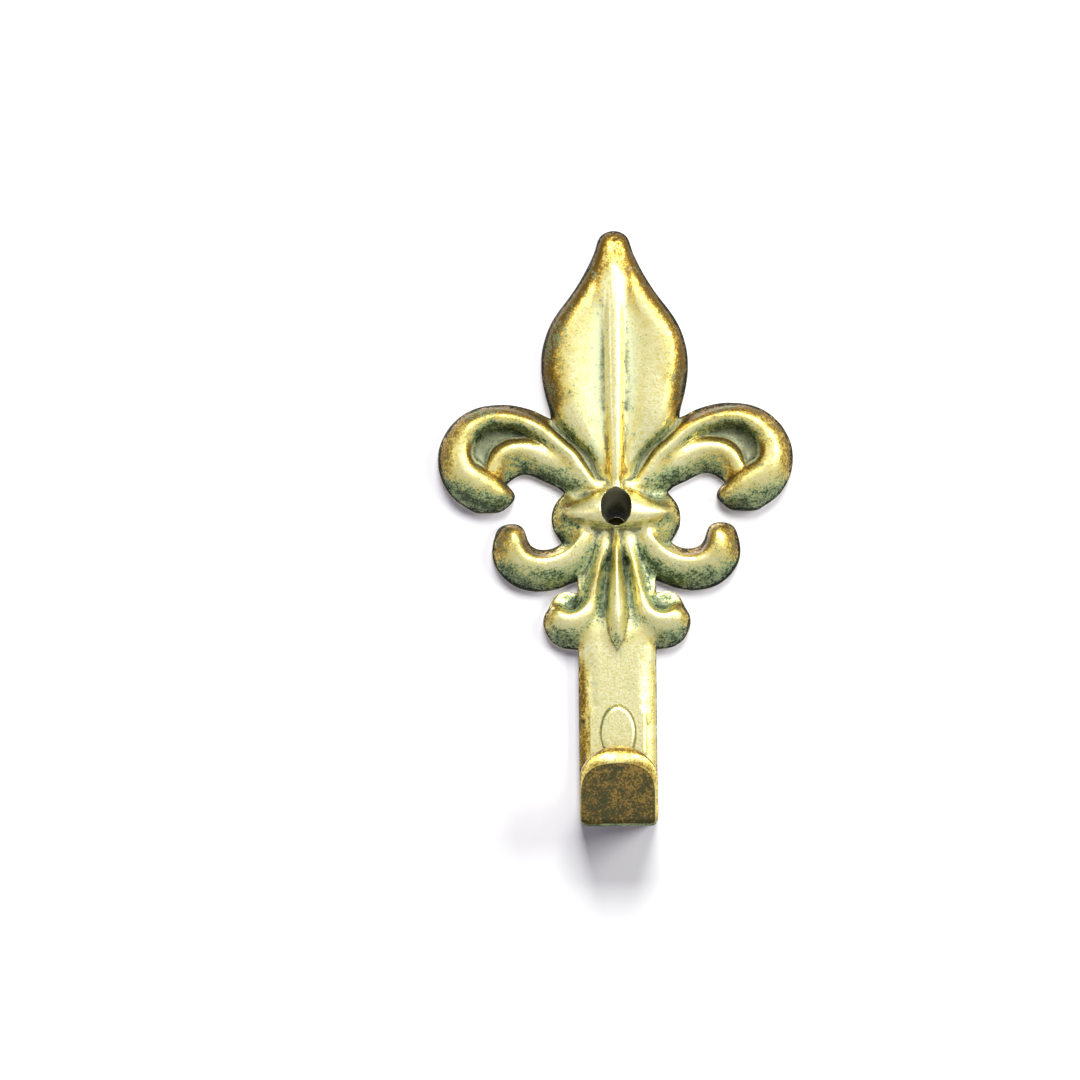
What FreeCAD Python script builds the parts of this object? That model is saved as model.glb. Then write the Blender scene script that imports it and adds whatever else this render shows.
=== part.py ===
import FreeCAD, Part

import math
import os

import Sketcher

from FreeCAD import Placement, Rotation, Vector

# A cast fleur-de-lis picture hook, in millimetres. +Z is up, the wall is the plane y = 0, and the
# front faces -Y. The origin is on the flat back, straight behind the mouth of the nail hole.

# Driving dimensions. A rise is a height above the wall, and a level is a height on the Z axis.
SIZES = {
    # Strap, throat and lip of the hook
    "strap_width": 7.8,
    "strap_rise": 2.4,
    "strap_top_level": -12.4,
    "strap_bottom_level": -32.2,
    "strap_edge_radius": 0.9,
    "floor_thickness": 2.4,
    "throat_gap": 4.6,
    "throat_radius": 1.2,
    "lip_thickness": 2.2,
    "lip_height": 8.1,
    "lip_brow_radius": 1.6,
    "lip_crown_drop": 2.75,
    "corner_radius": 0.6,
    # Oval boss above the lip, in its groove
    "boss_level": -22.9,
    "boss_width": 3.3,
    "boss_height": 5.2,
    "boss_rise": 0.25,
    "groove_width": 0.35,
    "groove_depth": 0.35,
    # Nail hole
    "nail_bore_radius": 0.95,
    "nail_angle": 25.0,
    "nail_seat_rise": 2.3,
    "nail_seat_ledge": 0.1,
    "mouth_width": 3.0,
    "mouth_height": 3.76,
    "mouth_floor_rise": 3.2,
    # Floor of the casting between the petals
    "web_rise": 1.2,
    "spine_rise": 1.6,
    "spine_slope_level": -7.5,
    "hub_rise": 2.4,
    "hub_half_width": 1.9,
    "hub_top_level": 2.6,
    "hub_bottom_level": -5.2,
    "curl_eye_radius": 1.75,
    "curl_eye_offset": 5.05,
    "curl_eye_level": -10.35,
    # Round end of the central petal
    "petal_nose_length": 1.7,
    # Knot and the collar behind it
    "knot_rise": 4.8,
    "knot_tip_level": -0.6,
    "collar_radius": 3.1,
    "collar_offset": 3.45,
    "collar_level": -1.25,
    "collar_rise": 2.5,
}

# Laws: one value at each station along a form, with a smooth curve between.
# A limb's crest runs through arcs, each with a length (run) and a turn in degrees, to the left if
# positive. left and right are the distances from the crest to the foot of each flank, rise is the
# crest's height, and lean turns the section from square to the crest. margin is the strip of flat
# floor that shows beyond the left flank, at the first stations. nose is the length of the round end.
LIMBS = {
    "horn": {
        "foot": (2.0, 1.9), "heading": 62.0, "nose": 1.5,
        "left_shape": (2.0, 2.0), "right_shape": (2.2, 1.8),
        "run": [4.0, 4.0, 4.6, 2.6, 2.6, 1.9, 1.7, 2.1, 1.1],
        "turn": [-14.0, -14.0, -34.0, -36.0, -38.0, -42.0, -38.0, 4.0, 2.0],
        "left": [0.65, 0.75, 0.85, 1.2, 1.6, 2.1, 2.65, 3.3, 3.4, 2.6],
        "right": [1.3, 1.5, 1.5, 1.35, 1.35, 1.5, 1.55, 1.6, 1.2, 0.7],
        "rise": [2.5, 2.8, 3.0, 3.2, 3.3, 3.4, 3.5, 3.5, 3.3, 2.9],
        "lean": [0.0] * 10,
        "margin": [0.4, 0.4, 0.45, 0.1],
    },
    "leaf": {
        "foot": (2.3, 1.8), "heading": 50.0, "nose": 0.7,
        "left_shape": (2.0, 2.0), "right_shape": (1.5, 2.0),
        "run": [3.9, 3.2, 2.1, 1.3, 1.3, 1.0],
        "turn": [-17.0, -12.0, -24.0, -26.0, -32.0, -20.0],
        "left": [0.9, 1.0, 1.1, 0.9, 0.8, 0.75, 0.7],
        "right": [2.4, 2.6, 2.75, 3.1, 3.2, 2.9, 2.4],
        "rise": [2.3, 2.5, 2.5, 2.5, 2.5, 2.5, 2.6],
        "lean": [-25.0, -18.0, -9.0, 0.0, 9.0, 20.0, 28.0],
    },
    "fluke": {
        "foot": (2.67, -1.54), "heading": -61.0, "nose": 1.1,
        "left_shape": (2.0, 2.0), "right_shape": (1.6, 2.0),
        "run": [1.1, 2.2, 2.4, 2.0, 1.6, 0.8, 0.8],
        "turn": [0.0, 20.0, 28.0, 30.0, 38.0, 24.0, 15.0],
        "left": [0.5, 0.5, 0.55, 0.65, 0.85, 1.3, 1.4, 1.25],
        "right": [2.0, 2.4, 3.0, 3.2, 3.3, 2.9, 2.35, 1.9],
        "rise": [2.6, 2.8, 2.9, 3.0, 3.2, 3.4, 3.4, 3.3],
        "lean": [0.0] * 8,
        "margin": [0.3, 0.3, 0.35, 0.35, 0.3, 0.05],
    },
    "curl": {
        "foot": (0.88, -2.53), "heading": -77.0, "nose": 0.8,
        "left_shape": (1.8, 1.8), "right_shape": (1.8, 2.0),
        "run": [1.0, 3.2, 2.2, 1.15, 1.2, 1.2, 0.75, 0.6],
        "turn": [0.0, 0.0, 0.0, 21.0, 23.0, 24.0, 37.0, 25.0],
        "left": [0.9, 1.2, 1.3, 1.2, 0.9, 0.8, 0.8, 0.9, 0.9],
        "right": [0.4, 0.5, 0.6, 0.9, 1.7, 2.9, 3.5, 2.9, 2.0],
        "rise": [2.7, 2.8, 2.8, 2.8, 2.9, 3.1, 3.2, 3.2, 3.1],
        "lean": [0.0] * 9,
    },
}

# The central petal: two lobes either side of a channel, at these levels.
PETAL = {
    "level": [1.6, 4.0, 6.0, 8.5, 11.0, 14.3, 17.0, 19.5, 22.0, 24.5, 26.14],
    "half_width": [0.9, 2.0, 3.5, 6.15, 7.0, 7.46, 7.05, 5.8, 3.95, 2.5, 1.8],
    "crest_offset": [0.5, 1.35, 2.4, 3.85, 4.5, 5.2, 5.2, 4.1, 2.3, 1.2, 0.8],
    "crest_rise": [2.2, 2.4, 2.6, 2.9, 3.0, 3.0, 3.0, 2.9, 2.75, 2.65, 2.5],
    "channel_rise": [1.9, 2.0, 2.1, 2.2, 2.3, 2.35, 2.4, 2.45, 2.5, 2.55, 2.5],
}

# The rib down the middle of that petal.
RIB = {
    "shape": (3.6, 2.4),
    "level": [0.9, 3.5, 6.0, 10.0, 14.0, 18.0, 21.0, 23.0, 24.8, 25.8],
    "half_width": [0.65, 0.8, 0.95, 1.05, 1.2, 1.2, 1.15, 0.9, 0.55, 0.3],
    "crest_rise": [3.1, 3.2, 3.3, 3.3, 3.3, 3.3, 3.25, 3.1, 2.85, 2.6],
}

# The dart below the knot, a long drop with a facet each side of its ridge. Its walls stand up to
# wall_share of its height.
DART = {
    "level": [-14.75, -14.0, -12.8, -11.2, -9.7, -7.5, -5.1, -2.4],
    "half_width": [0.08, 0.47, 0.86, 1.05, 0.95, 0.75, 0.52, 0.34],
    "crest_rise": [2.45, 3.0, 3.5, 3.75, 3.7, 3.5, 3.3, 3.2],
    "wall_share": 0.72,
}

# The knot, an almond dome that lies across the foot of every petal. Each half has these stations.
KNOT = {
    "shape": (2.4, 2.2),
    "offset": [0.0, 1.8, 3.0, 4.2, 5.1, 5.7],
    "upper_reach": [2.85, 2.55, 1.8, 1.1, 0.6, 0.25],
    "lower_reach": [2.0, 1.8, 1.6, 1.2, 0.65, 0.25],
    "rise_share": [1.0, 0.95, 0.85, 0.71, 0.59, 0.5],
}

TROUGH_END = 7      # the station of the horn where its crest closes round the leaf
BACK = 1.5          # how far each form runs on behind the wall, before it is cut off flat
FLANK_STEPS = 5     # points on each flank of a section
MAX_TURN_STEP = 15  # degrees of crest between two sections
NOSE_ANGLES = (30, 52, 70, 84)


def make_sheet(doc):
    """The spreadsheet with every size, a row each: its name, then its value."""
    sheet = doc.addObject("Spreadsheet::Sheet", "sizes")
    sheet.Label = "sizes"
    for row, (name, value) in enumerate(SIZES.items(), start=1):
        sheet.set(f"A{row}", name)
        sheet.set(f"B{row}", str(value))
        sheet.setAlias(f"B{row}", name)
    doc.recompute()
    return sheet


def law(values, where):
    """A smooth curve through the values at 0, 1, 2 ..., read at the place where."""
    last = len(values) - 1
    i = min(int(where), last - 1)
    u = where - i
    here, there = values[i], values[i + 1]
    before = values[i - 1] if i else here
    after = values[i + 2] if i + 2 <= last else there
    slope_here = (there - before) / 2
    slope_there = (after - here) / 2
    return (
        here * (2 * u**3 - 3 * u**2 + 1)
        + there * (3 * u**2 - 2 * u**3)
        + slope_here * (u**3 - 2 * u**2 + u)
        + slope_there * (u**3 - u**2)
    )


def flank(width, rise, shape):
    """Points (distance, height) from the foot of a flank to just short of its crest, on a superellipse."""
    across, upward = shape
    points = []
    for i in range(FLANK_STEPS):
        angle = math.radians(90 * (1 - i / (FLANK_STEPS - 0.5)))
        distance = width * math.sin(angle) ** (2 / across)
        height = rise * max(math.cos(angle), 0.0) ** (2 / upward)
        points.append((distance, height))
    return points


def section(points):
    """A closed wire: short chords through the points, closed behind the wall."""
    first, last = points[0], points[-1]
    first_back = Vector(first.x, BACK, first.z)
    last_back = Vector(last.x, BACK, last.z)
    return Part.makePolygon([first_back] + points + [last_back, first_back])


def flat_backed(shape):
    """A form cut off flat at the wall."""
    box = shape.BoundBox
    behind = Part.makeBox(box.XLength + 2, box.YMax + 1, box.ZLength + 2, Vector(box.XMin - 1, 0, box.ZMin - 1))
    return shape.cut(behind)


def lofted(sections, ruled):
    """A form through its sections, straight or smooth from each to the next, cut off flat at the wall."""
    return flat_backed(Part.makeLoft(sections, True, ruled))


def step(place, heading, distance):
    """The place reached from another one, in plan."""
    angle = math.radians(heading)
    return (place[0] + distance * math.cos(angle), place[1] + distance * math.sin(angle))


def crest_stations(limb):
    """Places along a limb's crest: (place in plan, heading, how far through the stations)."""
    place = limb["foot"]
    heading = limb["heading"]
    stations = [(place, heading, 0.0)]
    for piece, (run, turn) in enumerate(zip(limb["run"], limb["turn"])):
        steps = max(1, math.ceil(abs(turn) / MAX_TURN_STEP))
        for i in range(steps):
            chord = run / steps
            place = step(place, heading + turn / steps / 2, chord)
            heading += turn / steps
            stations.append((place, heading, piece + (i + 1) / steps))
    return stations


def crest_section(place, heading, left, right, lean, rise, limb):
    """The section of a limb across its crest, from its left foot over to its right foot."""
    points = []
    for distance, height in flank(left, rise, limb["left_shape"]):
        x, z = step(place, heading + 90 + lean, distance)
        points.append(Vector(x, -height, z))
    for distance, height in reversed(flank(right, rise, limb["right_shape"])):
        x, z = step(place, heading - 90 + lean, distance)
        points.append(Vector(x, -height, z))
    return section(points)


def limb_dome(limb):
    """The rounded body of a limb: sections along its crest, then a rounded nose."""
    sections = []
    for place, heading, where in crest_stations(limb):
        left, right, lean, rise = (law(limb[name], where) for name in ("left", "right", "lean", "rise"))
        sections.append(crest_section(place, heading, left, right, lean, rise, limb))
    for nose_angle in NOSE_ANGLES:
        share = math.cos(math.radians(nose_angle))
        reach = limb["nose"] * math.sin(math.radians(nose_angle))
        end = step(place, heading, reach)
        sections.append(crest_section(end, heading, left * share, right * share, lean, rise * share, limb))
    return lofted(sections, ruled=True)


def slab(outline, rise):
    """A flat plate on the wall, from its outline in plan."""
    corners = [Vector(x, 0, z) for x, z in outline]
    face = Part.Face(Part.makePolygon(corners + corners[:1]))
    return face.extrude(Vector(0, -rise, 0))


def limb_margin(limb, rise):
    """The strip of floor between a limb's crest and the outline beyond its left flank."""
    crest = []
    edge = []
    for place, heading, where in crest_stations(limb):
        if where > len(limb["margin"]) - 1:
            break
        reach = law(limb["left"], where) + law(limb["margin"], where)
        crest.append(place)
        edge.append(step(place, heading + 90 + law(limb["lean"], where), reach))
    return slab(crest + edge[::-1], rise)


def trough_floor(rise):
    """The floor between the horn's crest and the leaf's."""
    outer = [place for place, _, where in crest_stations(LIMBS["horn"]) if where <= TROUGH_END]
    inner = [place for place, _, _ in crest_stations(LIMBS["leaf"])]
    return slab(outer + inner[::-1], rise)


def two_halves(half, level):
    """An upright form's section at a level, from its right half: (distance, height) from the foot inwards."""
    left = [Vector(-x, -height, level) for x, height in half]
    right = [Vector(x, -height, level) for x, height in reversed(half)]
    return section(left + right)


def petal_section(level, half_width, crest_offset, crest_rise, channel_rise):
    """Across the petal: the left rim, up to its lobe, down in the channel, and the same on the right."""
    half = []
    for distance, height in flank(half_width - crest_offset, crest_rise, (2.0, 2.0)):
        half.append((crest_offset + distance, height))
    for share in (0.8, 0.5, 0.2):
        ease = 0.5 - 0.5 * math.cos(math.pi * share)
        half.append((crest_offset * share, channel_rise + (crest_rise - channel_rise) * ease))
    return two_halves(half, level)


def petal(nose_length):
    """The central petal, lofted up to its round tip."""
    names = ("half_width", "crest_offset", "crest_rise", "channel_rise")
    sections = []
    for i, level in enumerate(PETAL["level"]):
        sections.append(petal_section(level, *(PETAL[name][i] for name in names)))
    for nose_angle in NOSE_ANGLES:
        share = math.cos(math.radians(nose_angle))
        reach = nose_length * math.sin(math.radians(nose_angle))
        sections.append(petal_section(level + reach, *(PETAL[name][-1] * share for name in names)))
    return lofted(sections, ruled=False)


def rib():
    """The rounded rib, lofted up the petal."""
    sections = []
    for level, half_width, rise in zip(RIB["level"], RIB["half_width"], RIB["crest_rise"]):
        sections.append(two_halves(flank(half_width, rise, RIB["shape"]), level))
    return lofted(sections, ruled=False)


def dart():
    """The faceted drop, lofted from its tip up into the knot."""
    sections = []
    for level, half_width, rise in zip(DART["level"], DART["half_width"], DART["crest_rise"]):
        corners = [(half_width, 0), (half_width, DART["wall_share"] * rise), (half_width / 20, rise)]
        sections.append(two_halves(corners, level))
    return lofted(sections, ruled=True)


def knot_section(offset, upper_reach, lower_reach, rise, level):
    """Across the knot at one place along it: from its lower edge over to its upper edge."""
    lower = [Vector(offset, -height, level - z) for z, height in flank(lower_reach, rise, KNOT["shape"])]
    upper = [Vector(offset, -height, level + z) for z, height in flank(upper_reach, rise, KNOT["shape"])]
    return section(lower + upper[::-1])


def knot(rise, level):
    """The almond dome, lofted from one tip to the other."""
    rows = list(zip(KNOT["offset"], KNOT["upper_reach"], KNOT["lower_reach"], KNOT["rise_share"]))
    rows = [(-row[0],) + row[1:] for row in rows[:0:-1]] + rows
    sections = [knot_section(x, upper, lower, rise * share, level) for x, upper, lower, share in rows]
    return lofted(sections, ruled=False)


def add_shape(doc, name, shape):
    """A document object with a shape of its own."""
    feature = doc.addObject("Part::Feature", name)
    feature.Label = name
    feature.Shape = shape
    feature.Placement = Placement()
    return feature


def add_mirror(doc, source):
    """The same form on the left side."""
    mirror = doc.addObject("Part::Mirroring", source.Name + "_left")
    mirror.Label = source.Label + "_left"
    mirror.Source = source
    mirror.Base = Vector(0, 0, 0)
    mirror.Normal = Vector(1, 0, 0)
    return mirror


def add_box(doc, name, size, base):
    """A box whose length, width and height, and whose corner, are expressions of the sheet."""
    box = doc.addObject("Part::Box", name)
    box.Label = name
    for side, expression in zip(("Length", "Width", "Height"), size):
        box.setExpression(side, expression)
    for axis, expression in zip("xyz", base):
        box.setExpression(f"Placement.Base.{axis}", expression)
    return box


def plane(body, role):
    """One of a body's origin planes."""
    return next(item for item in body.Origin.OriginFeatures if item.Role == role)


def closed_sketch(body, name, role, corners):
    """A closed outline of straight lines, each corner tied to the sheet by two expressions."""
    sketch = body.newObject("Sketcher::SketchObject", name)
    sketch.Label = name
    sketch.AttachmentSupport = [(plane(body, role), "")]
    sketch.MapMode = "FlatFace"
    count = len(corners)
    start = [Vector(math.cos(math.tau * i / count), math.sin(math.tau * i / count), 0) for i in range(count)]
    for i in range(count):
        sketch.addGeometry(Part.LineSegment(start[i], start[(i + 1) % count]))
    for i in range(count):
        sketch.addConstraint(Sketcher.Constraint("Coincident", i, 2, (i + 1) % count, 1))
    for i, corner in enumerate(corners):
        for kind, expression in zip(("DistanceX", "DistanceY"), corner):
            index = sketch.addConstraint(Sketcher.Constraint(kind, -1, 1, i, 1, 1.0))
            sketch.setExpression(f"Constraints[{index}]", expression)
    return sketch


def edges_along(shape, direction, places):
    """Names of the straight edges along one axis that pass through one of the places."""
    names = []
    for i, edge in enumerate(shape.Edges, start=1):
        if edge.Curve.TypeId != "Part::GeomLine":
            continue
        if abs(edge.Curve.Direction.dot(direction)) < 0.999:
            continue
        middle = edge.CenterOfMass
        for place in places:
            away = middle - place
            away -= direction * away.dot(direction)
            if away.Length < 0.01:
                names.append(f"Edge{i}")
    return names


def add_fillet(doc, body, name, base, edges, radius):
    """Rounds edges of a feature, with a radius from the sheet."""
    fillet = body.newObject("PartDesign::Fillet", name)
    fillet.Label = name
    fillet.Base = (base, edges)
    fillet.setExpression("Radius", radius)
    doc.recompute()
    return fillet


def strap_and_hook(doc, sheet):
    """The spine behind the dart, the strap, the throat and the lip: one side profile across its width."""
    body = doc.addObject("PartDesign::Body", "strap_and_hook")
    body.Label = "strap_and_hook"
    front = "-(sizes.strap_rise + sizes.throat_gap + sizes.lip_thickness)"
    behind_lip = "-(sizes.strap_rise + sizes.throat_gap)"
    lip_top = "sizes.strap_bottom_level + sizes.lip_height"
    floor = "sizes.strap_bottom_level + sizes.floor_thickness"
    profile = closed_sketch(body, "side_profile", "YZ_Plane", [
        ("0", "sizes.hub_top_level"),
        ("0", "sizes.strap_bottom_level"),
        (front, "sizes.strap_bottom_level"),
        (front, lip_top),
        (behind_lip, lip_top),
        (behind_lip, floor),
        ("-sizes.strap_rise", floor),
        ("-sizes.strap_rise", "sizes.strap_top_level"),
        ("-sizes.spine_rise", "sizes.spine_slope_level"),
        ("-sizes.spine_rise", "sizes.hub_top_level"),
    ])
    pad = body.newObject("PartDesign::Pad", "strap_pad")
    pad.Profile = profile
    pad.Midplane = True
    pad.setExpression("Length", "sizes.strap_width")
    doc.recompute()

    half = sheet.strap_width / 2
    bottom = sheet.strap_bottom_level
    floor_level = bottom + sheet.floor_thickness
    top_level = bottom + sheet.lip_height
    back_y = -(sheet.strap_rise + sheet.throat_gap)
    front_y = back_y - sheet.lip_thickness
    x_axis, y_axis, z_axis = Vector(1, 0, 0), Vector(0, 1, 0), Vector(0, 0, 1)

    throat = edges_along(pad.Shape, x_axis, [Vector(0, -sheet.strap_rise, floor_level), Vector(0, back_y, floor_level)])
    rounded = add_fillet(doc, body, "throat_fillet", pad, throat, "sizes.throat_radius")
    brow = edges_along(rounded.Shape, x_axis, [Vector(0, front_y, top_level)])
    rounded = add_fillet(doc, body, "brow_fillet", rounded, brow, "sizes.lip_brow_radius")
    corners = edges_along(rounded.Shape, y_axis, [Vector(half, 0, bottom), Vector(-half, 0, bottom)])
    corners += edges_along(rounded.Shape, x_axis, [Vector(0, front_y, bottom)])
    rounded = add_fillet(doc, body, "corner_fillet", rounded, corners, "sizes.corner_radius")
    sides = edges_along(rounded.Shape, z_axis, [Vector(half, -sheet.strap_rise, 0), Vector(-half, -sheet.strap_rise, 0)])
    add_fillet(doc, body, "side_fillet", rounded, sides, "sizes.strap_edge_radius")
    return body


def lip_crown_cutter(doc):
    """What is cut from the top of the lip to leave it round: a bar less a drum across it."""
    radius = "((sizes.strap_width / 2)^2 + sizes.lip_crown_drop^2) / (2 * sizes.lip_crown_drop)"
    top = "sizes.strap_bottom_level + sizes.lip_height"
    bar = add_box(
        doc, "crown_bar",
        ("sizes.strap_width + 2", "sizes.lip_thickness + 2", "sizes.lip_crown_drop + 1"),
        ("-sizes.strap_width / 2 - 1", "-(sizes.strap_rise + sizes.throat_gap + sizes.lip_thickness) - 1",
         f"{top} - sizes.lip_crown_drop"),
    )
    drum = doc.addObject("Part::Cylinder", "crown_drum")
    drum.Label = "crown_drum"
    drum.Placement = Placement(Vector(0, 0, 0), Rotation(Vector(1, 0, 0), 90))
    drum.setExpression("Radius", radius)
    drum.setExpression("Height", "sizes.strap_rise + sizes.throat_gap + sizes.lip_thickness + 5")
    drum.setExpression("Placement.Base.z", f"{top} - {radius}")
    return add_cut(doc, "lip_crown_cutter", bar, drum)


def add_cut(doc, name, base, tool):
    """One object less another."""
    cut = doc.addObject("Part::Cut", name)
    cut.Label = name
    cut.Base = base
    cut.Tool = tool
    return cut


def add_fuse(doc, name, shapes):
    """Several objects made one."""
    fuse = doc.addObject("Part::MultiFuse", name)
    fuse.Label = name
    fuse.Shapes = shapes
    return fuse


def oval_wire(width, height, level, rise):
    """An upright oval outline at a height above the wall."""
    ellipse = Part.Ellipse(Vector(0, 0, height / 2), Vector(width / 2, 0, 0), Vector(0, 0, 0))
    wire = Part.Wire(ellipse.toShape())
    wire.translate(Vector(0, -rise, level))
    return wire


def oval(width, height, level, near, far):
    """An upright oval bar, between two heights above the wall."""
    return Part.Face(oval_wire(width, height, level, near)).extrude(Vector(0, near - far, 0))


def boss_and_groove(doc, sheet):
    """The oval boss on the strap, and the ring cut round it."""
    top = sheet.strap_rise + sheet.boss_rise
    bottom = sheet.strap_rise - sheet.groove_depth
    boss = oval(sheet.boss_width, sheet.boss_height, sheet.boss_level, bottom - 0.5, top)
    crown = [edge for edge in boss.Edges if edge.BoundBox.YMax < -top + 0.01]
    boss = boss.makeChamfer(sheet.boss_rise * 0.8, crown)
    outer = (sheet.boss_width + 2 * sheet.groove_width, sheet.boss_height + 2 * sheet.groove_width)
    ring = oval(*outer, sheet.boss_level, bottom, top + 1)
    return add_shape(doc, "oval_boss", boss), add_shape(doc, "boss_groove", ring)


def collar(doc):
    """The round lobe behind the right half of the knot."""
    lobe = doc.addObject("Part::Ellipsoid", "collar_lobe")
    lobe.Label = "collar_lobe"
    lobe.Placement = Placement(Vector(0, 0, 0), Rotation(Vector(1, 0, 0), 90))
    lobe.Angle1 = 0
    lobe.Angle2 = 90
    lobe.Angle3 = 360
    lobe.setExpression("Radius1", "sizes.collar_rise")
    lobe.setExpression("Radius2", "sizes.collar_radius")
    lobe.setExpression("Radius3", "sizes.collar_radius")
    lobe.setExpression("Placement.Base.x", "sizes.collar_offset")
    lobe.setExpression("Placement.Base.z", "sizes.collar_level")
    return lobe


def curl_eye(doc):
    """The thin round floor inside the curl at the end of the lowest petal."""
    eye = doc.addObject("Part::Cylinder", "curl_eye")
    eye.Label = "curl_eye"
    eye.Placement = Placement(Vector(0, 0, 0), Rotation(Vector(1, 0, 0), 90))
    eye.setExpression("Radius", "sizes.curl_eye_radius")
    eye.setExpression("Height", "sizes.web_rise")
    eye.setExpression("Placement.Base.x", "sizes.curl_eye_offset")
    eye.setExpression("Placement.Base.z", "sizes.curl_eye_level")
    return eye


def nail_mouth(doc, sheet):
    """The oval mouth in the knot's face, which narrows to a small ledge round the nail's bore."""
    lean = math.radians(sheet.nail_angle)
    seat_level = -(sheet.knot_rise - sheet.nail_seat_rise) * math.tan(lean)
    seat_radius = sheet.nail_bore_radius + sheet.nail_seat_ledge
    seat = oval_wire(2 * seat_radius, 2 * seat_radius / math.cos(lean), seat_level, sheet.nail_seat_rise)
    floor = oval_wire(sheet.mouth_width, sheet.mouth_height, 0, sheet.mouth_floor_rise)
    front = oval_wire(sheet.mouth_width, sheet.mouth_height, 0, sheet.knot_rise + 1)
    return add_shape(doc, "nail_mouth", Part.makeLoft([seat, floor, front], True, True))


def nail_bore(doc):
    """The nail's hole: from the middle of the knot's face down into the wall."""
    bore = doc.addObject("Part::Cylinder", "nail_bore")
    bore.Label = "nail_bore"
    bore.Placement = Placement(Vector(0, 0, 0), Rotation(Vector(1, 0, 0), 90))
    bore.setExpression("Radius", "sizes.nail_bore_radius")
    bore.setExpression("Height", "4 * sizes.knot_rise")
    bore.setExpression("Placement.Rotation.Angle", "90 deg - sizes.nail_angle * 1 deg")
    bore.setExpression("Placement.Base.y", "sizes.knot_rise")
    bore.setExpression("Placement.Base.z", "-2 * sizes.knot_rise * tan(sizes.nail_angle * 1 deg)")
    return bore


def main():
    doc = FreeCAD.newDocument("picture_hook")
    sheet = make_sheet(doc)

    right = []
    for name, limb in LIMBS.items():
        right.append(add_shape(doc, name, limb_dome(limb)))
        if "margin" in limb:
            right.append(add_shape(doc, name + "_margin", limb_margin(limb, sheet.web_rise)))
    right.append(add_shape(doc, "trough_floor", trough_floor(sheet.web_rise)))
    right.append(curl_eye(doc))
    right.append(collar(doc))
    left = [add_mirror(doc, form) for form in right]

    central = [
        add_shape(doc, "central_petal", petal(sheet.petal_nose_length)),
        add_shape(doc, "petal_rib", rib()),
        add_shape(doc, "knot", knot(sheet.knot_rise, sheet.knot_tip_level)),
        add_shape(doc, "dart", dart()),
        add_box(
            doc, "hub",
            ("2 * sizes.hub_half_width", "sizes.hub_rise", "sizes.hub_top_level - sizes.hub_bottom_level"),
            ("-sizes.hub_half_width", "-sizes.hub_rise", "sizes.hub_bottom_level"),
        ),
    ]
    boss, groove = boss_and_groove(doc, sheet)
    hook = strap_and_hook(doc, sheet)
    crowned = add_cut(doc, "crowned_hook", hook, lip_crown_cutter(doc))
    grooved = add_cut(doc, "grooved_strap", crowned, groove)
    ornament = add_fuse(doc, "ornament", right + left + central + [boss, grooved])
    bored = add_cut(doc, "bored_ornament", ornament, nail_bore(doc))
    whole = add_cut(doc, "picture_hook", bored, nail_mouth(doc, sheet))
    doc.recompute()

    for item in doc.Objects:
        if "Invalid" in item.State or "Error" in item.State:
            raise RuntimeError(f"{item.Label} failed: {item.State}")
    shape = whole.Shape
    if shape.isNull() or not shape.isValid() or len(shape.Solids) != 1:
        raise RuntimeError("picture_hook isn't one valid solid")
    os.makedirs("parts", exist_ok=True)
    shape.Solids[0].exportStep("parts/picture_hook.step")
    print("picture_hook", shape.BoundBox, round(shape.Volume, 1), len(shape.Faces), "faces")


main()
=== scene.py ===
import math
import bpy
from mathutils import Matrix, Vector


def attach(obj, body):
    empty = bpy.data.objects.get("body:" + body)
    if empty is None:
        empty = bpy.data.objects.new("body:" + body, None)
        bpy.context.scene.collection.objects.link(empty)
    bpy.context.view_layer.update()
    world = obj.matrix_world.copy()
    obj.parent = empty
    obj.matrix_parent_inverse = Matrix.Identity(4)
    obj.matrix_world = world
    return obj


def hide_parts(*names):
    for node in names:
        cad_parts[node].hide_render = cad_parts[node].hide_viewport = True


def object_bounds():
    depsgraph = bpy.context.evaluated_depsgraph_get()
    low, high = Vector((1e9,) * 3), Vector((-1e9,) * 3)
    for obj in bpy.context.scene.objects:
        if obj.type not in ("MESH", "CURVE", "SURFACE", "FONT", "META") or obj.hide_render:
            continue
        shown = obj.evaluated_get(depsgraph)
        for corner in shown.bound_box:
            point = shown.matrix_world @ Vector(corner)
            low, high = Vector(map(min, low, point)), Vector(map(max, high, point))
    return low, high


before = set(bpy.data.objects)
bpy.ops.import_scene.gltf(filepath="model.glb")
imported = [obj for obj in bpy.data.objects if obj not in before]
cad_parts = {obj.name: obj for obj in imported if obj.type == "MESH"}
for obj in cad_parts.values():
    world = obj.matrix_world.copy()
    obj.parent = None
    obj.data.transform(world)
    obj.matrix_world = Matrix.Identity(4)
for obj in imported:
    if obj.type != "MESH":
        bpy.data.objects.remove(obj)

from types import SimpleNamespace

import bpy
import numpy as np
from mathutils import Matrix, Vector

# A fleur-de-lis picture hook in antique brass, seen from the front on white. Lengths in the named
# values are in millimetres, and MM turns them into the scene's metres.
MM = 0.001
CAD_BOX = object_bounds()
ANY = math.inf
TINY = 1e-12
WHITE = (1.0, 1.0, 1.0, 1.0)

# Fine surface
WELD = 0.001            # points nearer than this are one
VOXEL = 0.184           # spacing of the fine surface
NORMAL_PASSES = 40      # rounds of evening out the face normals
NORMAL_SPREAD = 0.34    # normals further apart than this keep their crease
POINT_PASSES = 25       # rounds of moving points to suit those normals

# Places of small flaws in the casting's front: x, z, radius, depth
PITS = [
    (0.1, 27.0, 0.28, 0.16),
    (0.55, 26.5, 0.2, 0.1),
    (-0.75, 17.7, 0.16, 0.08),
    (-3.55, -21.7, 0.3, 0.15),
    (1.6, -26.9, 0.15, 0.06),
]
PIT_FACING = -0.3       # only a normal that points further forward than this is pitted

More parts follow.
